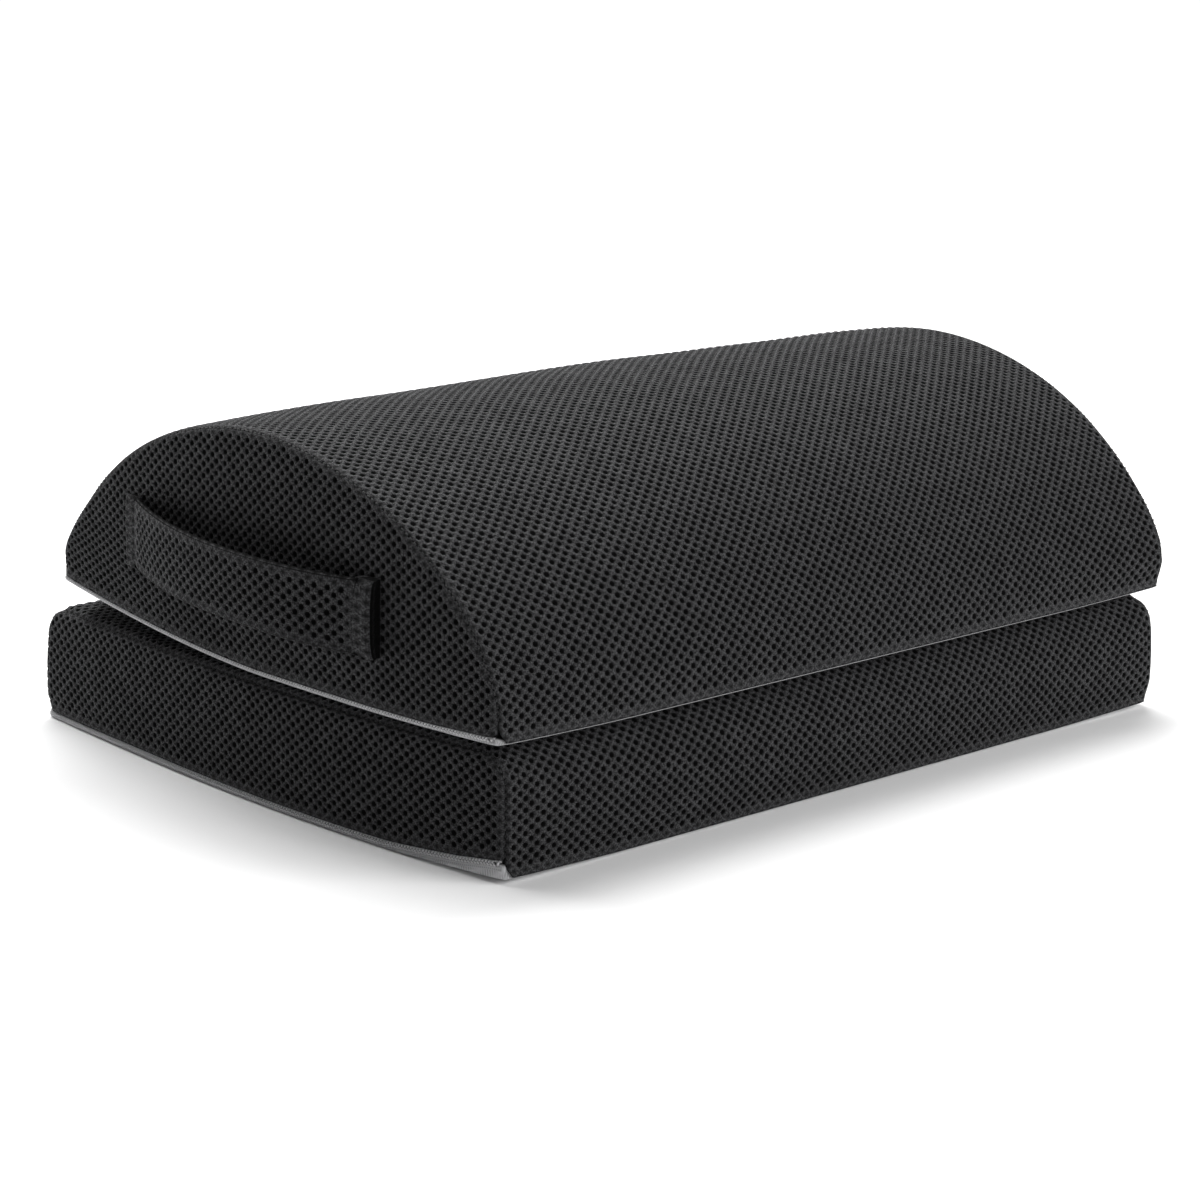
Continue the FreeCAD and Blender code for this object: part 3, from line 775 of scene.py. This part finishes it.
class ZipPath:
    """Plan line of the zip, on the cover's face, from its start on the left end to its rear end."""

    def __init__(self, cushion):
        c = cushion
        w = c.half_depth
        left = [(-c.end_x(y), y) for y in np.arange(-w + PATH_START, w, 1.0)]
        rear = [(x, w) for x in np.arange(-c.half_length, c.half_length - ZIP_END_INSET, 1.0)]
        flat = np.array(left + rear)
        line = c.softened(flat[:, 0], flat[:, 1], np.full(len(flat), CHAIN_OVER_BASE))
        on_left = smooth(c.half_length * -0.75, -c.half_length, flat[:, 0])
        hem = left_hem(c.name, flat[:, 1], w)
        line[:, 2] += (hem - CHAIN_UNDER_HEM[c.name] - CHAIN_OVER_BASE) * on_left
        under = c.bottom_raw(flat)
        run = np.concatenate([[0], np.cumsum(np.linalg.norm(np.diff(line, axis=0), axis=1))])
        self.length = run[-1]
        self.places = places = np.arange(0, self.length, 1.0)
        kernel = np.hanning(9) / np.hanning(9).sum()
        line = np.pad(interp_rows(places, run, line), ((4, 4), (0, 0)), mode="edge")
        self.line = np.column_stack([np.convolve(column, kernel, "valid") for column in line.T])
        along = np.gradient(self.line, axis=0)
        along[:, 2] = 0
        self.along = unit(along)
        self.squeeze = 1 - (1 - CHAIN_SQUEEZE[c.name]) * np.interp(places, run, on_left)
        self.lowest = np.interp(places, run, under[:, 2]) + GROUND_GAP
        self.shift = OUTWARDS * np.interp(places, run, on_left)

    def at(self, place):
        """Points on the line and the direction along it."""
        return interp_rows(place, self.places, self.line), unit(interp_rows(place, self.places, self.along))

    def put(self, local):
        """Places points given as (distance along, out from the face, height over the chain)."""
        local = np.asarray(local, float)
        point, along = self.at(local[:, 0])
        out = np.column_stack([-along[:, 1], along[:, 0], along[:, 2]])
        up = local[:, 2] * np.interp(local[:, 0], self.places, self.squeeze)
        outwards = local[:, 1] + np.interp(local[:, 0], self.places, self.shift)
        placed = point + out * outwards[:, None] + np.array([0, 0, 1.0]) * up[:, None]
        placed[:, 2] = np.maximum(placed[:, 2], np.interp(local[:, 0], self.places, self.lowest))
        return placed


def tube_faces(rings, count):
    """Faces between rings of count points each, with a cap at both ends."""
    sides = [[k * count + n, k * count + (n + 1) % count, (k + 1) * count + (n + 1) % count,
              (k + 1) * count + n] for k in range(rings - 1) for n in range(count)]
    return [*sides, list(range(count))[::-1], [(rings - 1) * count + n for n in range(count)]]


RIBBON_STEP = 2.0


def ribbon(path, section, start, end):
    """Closed strip along a zip path. section is (out, height) points, in order round it."""
    places = np.linspace(start, end, max(2, int((end - start) / RIBBON_STEP)))
    count = len(section)
    local = [(p, out, up) for p in places for out, up in section]
    cloth = np.array([(p, 1.2 * n) for p in places for n in range(count)])
    return path.put(local), tube_faces(len(places), count), cloth


def tube(points, radius, sides):
    """Round tube through a few points."""
    points = np.asarray(points, float)
    along = unit(np.gradient(points, axis=0))
    helper = np.array([0, 0, 1.0]) if abs(along[0][2]) < 0.8 else np.array([1.0, 0, 0])
    one = unit(np.cross(along, helper))
    two = np.cross(along, one)
    radius = np.broadcast_to(radius, len(points))
    turn = np.arange(sides) * 2 * math.pi / sides
    ring = (one[:, None] * np.cos(turn)[None, :, None] + two[:, None] * np.sin(turn)[None, :, None])
    out = (points[:, None] + ring * radius[:, None, None]).reshape(-1, 3)
    return out, tube_faces(len(points), sides)


def gather(parts):
    """One list of points and faces from several."""
    points, faces, start = [], [], 0
    for part_points, part_faces in parts:
        points.append(part_points)
        faces.extend([[v + start for v in face] for face in part_faces])
        start += len(part_points)
    return np.concatenate(points), faces


TOOTH_PITCH = 1.75
TAPE_IN = 2.0                 # the tape's outer face, in from the cover's face
TAPE_THICK = 0.8


def build_zip(cushion):
    c = cushion
    path = ZipPath(c)
    end = path.length - 1.0
    for which, sign in (("cover", 1), ("bottom", -1)):
        far = 5.6 if which == "cover" else 5.4
        o = -TAPE_IN
        section = [(o, 0.7), (o + 0.1, 1.9), (o + 0.45, 2.15), (o + 0.45, 2.75), (o + 0.1, 3.0),
                   (o, far), (o - TAPE_THICK, far), (o - TAPE_THICK, 0.7)]
        section = [(out, sign * up) for out, up in section]
        points, faces, cloth = ribbon(path, section if sign > 0 else section[::-1], 0.5, end)
        tape = make_object(f"{c.name}_zip_{which}_tape_fabric", points, faces, TAPE, c.body)
        set_cloth(tape, cloth)
        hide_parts(f"{c.name}_zip_{which}_tape")
        teeth = []
        places = np.arange(4.0, end - 3.0, TOOTH_PITCH) + (TOOTH_PITCH / 2 if sign > 0 else 0)
        lean = 0.35
        shape = [(-lean, -0.15, 1.75), (-0.6 * lean, 0.35, 1.55), (0.2 * lean, 0.50, 0.7),
                 (lean, 0.25, -0.15)]
        for place in places:
            local = [(place + along, o + out + 0.1, sign * up) for along, out, up in shape]
            teeth.append(tube(path.put(local), [0.36, 0.44, 0.44, 0.36], 5))
        points, faces = gather(teeth)
        coil = make_object(f"{c.name}_zip_{which}_teeth", points, faces, COIL, c.body)
        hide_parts(f"{c.name}_zip_{which}_coil")
    for word, place in (("start", 2.0), ("end", end - 1.5)):
        crimp = [(place, -1.7, up) for up in (-1.6, -1.3, 0.0, 1.3, 1.6)]
        points, faces = tube(path.put(crimp), [0.3, 0.55, 0.6, 0.55, 0.3], 8)
        stop = make_object(f"{c.name}_zip_{word}_crimp", points, faces, METAL, c.body)
        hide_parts(f"{c.name}_zip_{word}_stop")


# ---- the underside ----

RAISED_EDGE = {"lower": 4.4, "upper": 1.2}   # the fabric's edge stands this much higher at the zip's start


def build_underside(cushion):
    """Woven base fabric, turned up a little at its edge."""
    c = cushion
    rows = np.linspace(-1, 1, 60)
    columns = np.linspace(-1, 1, 80)
    inner = np.array([[(u * (c.end_x(v * c.half_depth) - 0.5), v * (c.half_depth - 0.5)) for v in rows]
                      for u in columns])
    n, m = inner.shape[:2]
    under = c.rounded_bottom(inner.reshape(-1, 2))
    ids = np.arange(n * m).reshape(n, m)
    faces = [[int(ids[i, j]), int(ids[i, j + 1]), int(ids[i + 1, j + 1]), int(ids[i + 1, j])]
             for i in range(n - 1) for j in range(m - 1)]
    border = np.concatenate([ids[:, 0], ids[-1, 1:], ids[-2::-1, -1], ids[0, -2:0:-1]])
    flat = inner.reshape(-1, 2)
    points, cloth = [under], [flat]
    before = border
    edge = flat[border]
    left_foot = (edge[:, 0] < -c.half_length + 14) * smooth(60, 8, edge[:, 1] + c.half_depth)
    left_foot *= smooth(14, 4, edge[:, 0] + c.half_length) * (edge[:, 1] > -c.half_depth + 1) + \
        smooth(6, 0, edge[:, 0] + c.half_length) * (edge[:, 1] <= -c.half_depth + 1)
    for up, inwards in ((0.25, 0.6), (0.6, 0.7), (1.0, 1.0), (1.1, 2.6)):
        shrunk = edge * (1 - inwards / np.array([c.half_length, c.half_depth]))
        ring = c.rounded_bottom(edge) + c.bottom_raw(shrunk) - c.bottom_raw(edge)
        ring[:, 2] += up * (1 + RAISED_EDGE[c.name] * left_foot)
        start = sum(len(p) for p in points)
        count = len(border)
        after = np.arange(start, start + count)
        for k in range(count):
            l = (k + 1) % count
            faces.append([int(before[k]), int(before[l]), int(after[l]), int(after[k])])
        points.append(ring)
        cloth.append(flat[border] + np.sign(flat[border]) * up)
        before = after
    points, cloth = np.concatenate(points), np.concatenate(cloth)
    fabric = make_object(c.name + "_underside", points, faces, UNDERSIDE, c.body)
    set_cloth(fabric, cloth)
    set_map(fabric.data, cloth)
    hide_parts(c.name + "_bottom_panel")


# ---- whole covers ----

REAR_HEM = 11.2
FOOT_HEM = {"lower": 1.5, "upper": 0.8}
CORNER_CUT = (5.0, 6.0)       # the front panel's foot is cut off at the zip's start


def build_cover(cushion):
    c = cushion
    w, total = c.half_depth, c.arc_length
    foot_hem = FOOT_HEM[c.name]

    def limit(s):
        return float(c.end_x(c.section(s)[0]))

    up = np.linspace(foot_hem, total - foot_hem, 120)
    right = [(limit(s), s) for s in up]
    rear_end = c.half_length - ZIP_END_INSET
    left_top = total - REAR_HEM
    rear = [(rear_end + 16, total - foot_hem), (rear_end + 5, total - 0.7 * REAR_HEM),
            (rear_end - 4, left_top)]
    left = [(-limit(s), s) for s in up[::-1] if CORNER_CUT[1] < s < left_top]
    cut = [(-limit(0), CORNER_CUT[1]), (CORNER_CUT[0] - limit(0), foot_hem)]
    outline = right + rear + [(-limit(left_top), left_top)] + left + cut

    def closed(flat):
        rear_side = smooth(total - 24, total - 14, flat[:, 1])
        return rear_side * smooth(0, 20, rear_end + 10 - flat[:, 0])

    inside = np.array([0, c.middle_y, c.base + 20.0])
    wrap = air_mesh_panel(c.name + "_cover", outline, wrap_shape(c), inside, COVER, c.body,
                          closed=closed)
    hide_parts(c.name + "_wrap_panel")

    for side, word in ((-1, "left"), (1, "right")):
        steps = np.linspace(foot_hem, total - foot_hem, 130)
        arch = [tuple(float(v) for v in c.section(s)) for s in steps]
        if side < 0:
            foot = [(y, float(left_hem(c.name, y, w))) for y in np.linspace(w, -w, 40)]
            arch = [p for p in arch if p[1] >= left_hem(c.name, p[0], w) + 0.3]
        else:
            foot = []
        panel = air_mesh_panel(f"{c.name}_{word}_end", arch + foot, end_shape(c, side), inside, COVER, c.body,
                               lip=PANEL_LIP if side > 0 else 1.7)
        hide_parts(f"{c.name}_{word}_end_panel")


STITCH_PITCH = 2.9
STITCH_START = 10.0           # the first and the last stitch are this far from the foot


def build_seam_stitches(cushion):
    """Small stitches in the valley of each end seam."""
    c = cushion
    for side, word in ((-1, "left"), (1, "right")):
        seam, pulls = c.seams[side]
        parts = []
        for s in np.arange(STITCH_START, c.arc_length - STITCH_START, STITCH_PITCH):
            run = np.array([s, s + 0.6, s + 1.3, s + 1.9])
            line = c.wrap_raw(np.column_stack([side * c.end_x(c.section(run)[0]), run]))
            line = pull_seams(c, line)
            k = int(np.argmin(np.linalg.norm(seam - line[1], axis=1)))
            rise = np.array([-0.25, 0.25, 0.25, -0.25])[:, None]
            parts.append(tube(line - pulls[k] * rise, 0.3, 5))
        points, faces = gather(parts)
        thread = make_object(f"{c.name}_{word}_stitches", points, faces, THREAD, c.body)
        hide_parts(f"{c.name}_{word}_seam_thread")


FOAM_INSET = 6.5
FOAM_SHARE = 0.98             # of its inset plan, so that it stays behind the mesh at the corners
FOAM_LOWEST = 2.4


def build_foam(cushion):
    """Foam block inside the cover, following the stuffed form."""
    c = cushion
    points, faces = c.coarse
    triangles = np.array([t for f in faces for t in ([f[0], f[1], f[2]], [f[0], f[2], f[-1]])
                          if len(set(t)) == 3])
    middle = np.array([0, c.middle_y, c.base + 0.4 * c.height])
    a, b, d = (points[triangles[:, k]] for k in range(3))
    inwards = np.sum(np.cross(b - a, d - a) * (a - middle), axis=1) < 0
    triangles[inwards] = triangles[inwards][:, ::-1]
    inner = points - face_normals_at_points(points, triangles) * FOAM_INSET
    inner[:, :2] = middle[:2] + (inner[:, :2] - middle[:2]) * FOAM_SHARE
    inner[:, 2] = np.clip(inner[:, 2], c.base + FOAM_LOWEST, None)
    foam = make_object(c.name + "_foam", inner, faces, FOAM, c.body)
    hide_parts(c.name + "_foam_core")


# ---- the handle strap ----

STRAP_TILT = 6.0              # the rear end sits this much higher than the front end
STRAP_SPAN = 168.0            # between the folded ends
STRAP_FOLD = 9.0
STRAP_STAND = (7.6, 2.6)      # the strap's outer face over the end panel, at its front and rear ends
STRAP_BOW = 15.5              # how much further out its middle is
STRAP_THICK = 3.4


def build_strap(cushion):
    low, high = (np.array(v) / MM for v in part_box("handle_strap"))
    front_fold = np.array(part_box("handle_front_fold")[0]) / MM
    face = float(high[0])
    middle_z = (low[2] + high[2]) / 2
    width = high[2] - low[2]
    start = float(front_fold[1]) + STRAP_FOLD
    middle_y = start + STRAP_SPAN / 2 - STRAP_FOLD / 2
    half = STRAP_SPAN / 2 - STRAP_FOLD / 2

    def outer_x(y):
        t = np.clip((y - middle_y) / half, -1, 1)
        stand = np.interp(t, (-1, 1), STRAP_STAND)
        return face - stand - STRAP_BOW * (1 - np.abs(t) ** 2.2)

    def height(y, h):
        narrowing = 1 - 0.04 * np.cos((y - middle_y) / 40)
        return middle_z + h * narrowing + STRAP_TILT * (y - middle_y) / STRAP_SPAN

    def shape_at(depth):
        def shape(flat):
            y, h = flat[:, 0], flat[:, 1]
            share = np.abs(h) / (width / 2)
            crown = 1.5 * (1 - np.sqrt(np.clip(1 - share ** 3, 0, 1)))
            x = outer_x(y) + (crown if depth == 0 else depth - crown)
            x = x + 0.3 * np.sin(y / 11.0) * np.sin(h / 7.0 + 1.0)
            return np.column_stack([x, y, height(y, h)])
        return shape

    outline = [(middle_y - half, -width / 2), (middle_y + half, -width / 2),
               (middle_y + half, width / 2), (middle_y - half, width / 2)]

    def closed(flat):
        return smooth(5, 2, flat[:, 0] - middle_y + half)

    for depth, word in ((0.0, "outer"), (STRAP_THICK, "inner")):
        inside = np.array([face + 60 if depth == 0 else face - 600, middle_y, middle_z])
        layer = air_mesh_panel(f"handle_strap_{word}", outline, shape_at(depth), inside, STRAP, cushion.body,
                               lip=1.7, scale=1.04, fade=(0.2, 2.8), closed=closed)
        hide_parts("handle_strap")

    # each end is turned under and sewn down, which makes a rounded bar with a slit between its layers; the slit's
    # dark is painted black on the bar's side, painted shade
    around = [(-1.6, 0.0), (-2.0, 3.0), (-3.2, 6.4), (-2.2, 7.9), (0.2, 8.3), (2.6, 7.9), (5.0, 8.0),
              (7.0, 7.7), (8.2, 6.9), (8.5, 5.8), (8.0, 5.0), (7.2, 4.2), (7.0, 3.0), (7.0, 1.5), (7.0, 0.0)]
    folds = (("front", middle_y - half, -1, 1.17), ("rear", middle_y + half, 1, 0.40))
    for word, inner_y, sign, thick in folds:
        levels = np.linspace(-width / 2, width / 2, 26)
        shrink = 0.72 + 0.28 * np.sqrt(np.clip(1 - (np.abs(levels) / (width / 2)) ** 2.6, 0.0, 1))
        points = np.array([[face + 1.4 - out * squeeze * thick, inner_y + sign * along,
                            height(inner_y + sign * along, up)]
                           for up, squeeze in zip(levels, shrink) for along, out in around])
        count = len(around)
        faces = [[k * count + n, k * count + n + 1, (k + 1) * count + n + 1, (k + 1) * count + n]
                 for k in range(len(levels) - 1) for n in range(count - 1)]
        faces += [list(range(count)), [(len(levels) - 1) * count + n for n in range(count)][::-1]]
        bar = make_object(f"handle_{word}_end", points, faces, STRAP, cushion.body)
        set_cloth(bar, np.array([(1.3 * n, up) for up in levels for n in range(count)]))
        # painted shade: the bar's side faces at the slit are painted black
        set_attribute(bar.data, "hole", np.array([1.0 if along > 6 and out < 6.5 else 0.1
                                                  for up in levels for along, out in around]))
        bevel = bar.modifiers.new("soft", "SUBSURF")
        bevel.levels = bevel.render_levels = 2
        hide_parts(f"handle_{word}_fold")
        parts = []
        for up in np.arange(-width / 2 + 3.0, width / 2 - 2.0, 4.0):
            run = np.array([up, up + 0.8, up + 1.8, up + 2.6])
            y = np.full(4, inner_y + sign * 3.0)
            x = face + 1.4 - 7.35 * thick - np.array([-0.2, 0.2, 0.2, -0.2])
            parts.append(tube(np.column_stack([x, y, height(y, run)]), 0.33, 5))
        points, faces = gather(parts)
        sewing = make_object(f"handle_{word}_sewing", points, faces, THREAD, cushion.body)
        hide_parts(f"handle_{word}_stitching")


# ------------------------------------------------------------------ the object

CORNER_LIFT = {"lower": (1.5, 0.0), "upper": (1.5, 13.0)}

for cushion_name, half_round, bow in (("lower", False, LOWER_BOW), ("upper", True, UPPER_BOW)):
    cushion = Cushion(cushion_name, bow, half_round, CORNER_LIFT[cushion_name])
    cushion.seams = sewn_edges(cushion)
    add_swelling(cushion)
    build_cover(cushion)
    build_seam_stitches(cushion)
    build_underside(cushion)
    build_foam(cushion)
    build_zip(cushion)
    if half_round:
        build_strap(cushion)

# the CAD nodes that show as they are take these materials
FINISHES = {("_loop_strips", "_hook_strips"): HOOKS, ("_zip_slider", "_zip_slider_back", "_zip_pull"): METAL}
for endings, finish in FINISHES.items():
    for node_name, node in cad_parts.items():
        if node_name.endswith(endings):
            for material_slot in node.material_slots:
                material_slot.material = finish


# ------------------------------------------------------------------ floor, light and camera

def stage_object(name, points, faces, colour):
    mesh = bpy.data.meshes.new(name)
    mesh.from_pydata(points, [], faces)
    material, _ = new_material(name, colour, 0.9)
    mesh.materials.append(material)
    add_object(name, mesh)


FLOOR_RADIUS, FLOOR_SIDES = 1.3, 96
turns = [math.tau * k / FLOOR_SIDES for k in range(FLOOR_SIDES)]
rim = [(FLOOR_RADIUS * math.cos(turn), FLOOR_RADIUS * math.sin(turn), 0) for turn in turns]
stage_object("floor", rim, [tuple(range(FLOOR_SIDES))], (0.93, 0.93, 0.93))


def area_light(name, place, aim, size, power):
    data = bpy.data.lights.new(name, "AREA")
    data.shape = "RECTANGLE"
    data.size, data.size_y = size
    data.energy = power
    lamp = add_object(name, data)
    lamp.location = place
    lamp.rotation_euler = (Vector(aim) - Vector(place)).to_track_quat("-Z", "Y").to_euler()


area_light("overhead", (0.3, 1.0, 1.8), (0, 0, 0.1), (2.6, 1.4), 85)
area_light("front", (0.9, -1.9, 1.1), (0, 0, 0.1), (1.4, 1.4), 38)
world = bpy.data.worlds.new("studio")
world.use_nodes = True
sky = Nodes(world)
direction = sky.add("ShaderNodeSeparateXYZ")
sky.link(sky.add("ShaderNodeTexCoord").outputs["Generated"], direction.inputs[0])
upwards = sky.ramp(direction.outputs["Z"], 0.05, 0.50, 1.05, 0.30)
# the left side of the sky is darker, but not the background below the horizon
to_left = sky.ramp(direction.outputs["X"], 0.3, -0.9)
over_horizon = sky.ramp(direction.outputs["Z"], -0.02, 0.15)
shade = sky.math("MULTIPLY", to_left, over_horizon)
lit = sky.math("SUBTRACT", 1.0, sky.math("MULTIPLY", shade, 0.78))
sky.link(sky.math("MULTIPLY", upwards, lit), world.node_tree.nodes["Background"].inputs["Strength"])
world.node_tree.nodes["Background"].inputs["Color"].default_value = (1, 1, 1, 1)
bpy.context.scene.world = world

CAMERA_PLACE = (-1.03538, -1.08121, 0.42922)
CAMERA_YAW = 0.760484
CAMERA_PITCH = -0.245424
CAMERA_ROLL = 0.0206178
CAMERA_LENS = 98.25

ahead = Vector((math.sin(CAMERA_YAW) * math.cos(CAMERA_PITCH), math.cos(CAMERA_YAW) * math.cos(CAMERA_PITCH),
                math.sin(CAMERA_PITCH)))
level = ahead.cross(Vector((0, 0, 1))).normalized()
upright = level.cross(ahead)
across = level * math.cos(CAMERA_ROLL) + upright * math.sin(CAMERA_ROLL)
above = upright * math.cos(CAMERA_ROLL) - level * math.sin(CAMERA_ROLL)
camera_data = bpy.data.cameras.new("camera")
camera_data.lens = CAMERA_LENS
camera_data.sensor_width = 36
camera = add_object("camera", camera_data)
camera.matrix_world = Matrix(((across.x, above.x, -ahead.x, CAMERA_PLACE[0]),
                              (across.y, above.y, -ahead.y, CAMERA_PLACE[1]),
                              (across.z, above.z, -ahead.z, CAMERA_PLACE[2]),
                              (0, 0, 0, 1)))
bpy.context.scene.camera = camera
bpy.context.scene.view_settings.view_transform = "Standard"
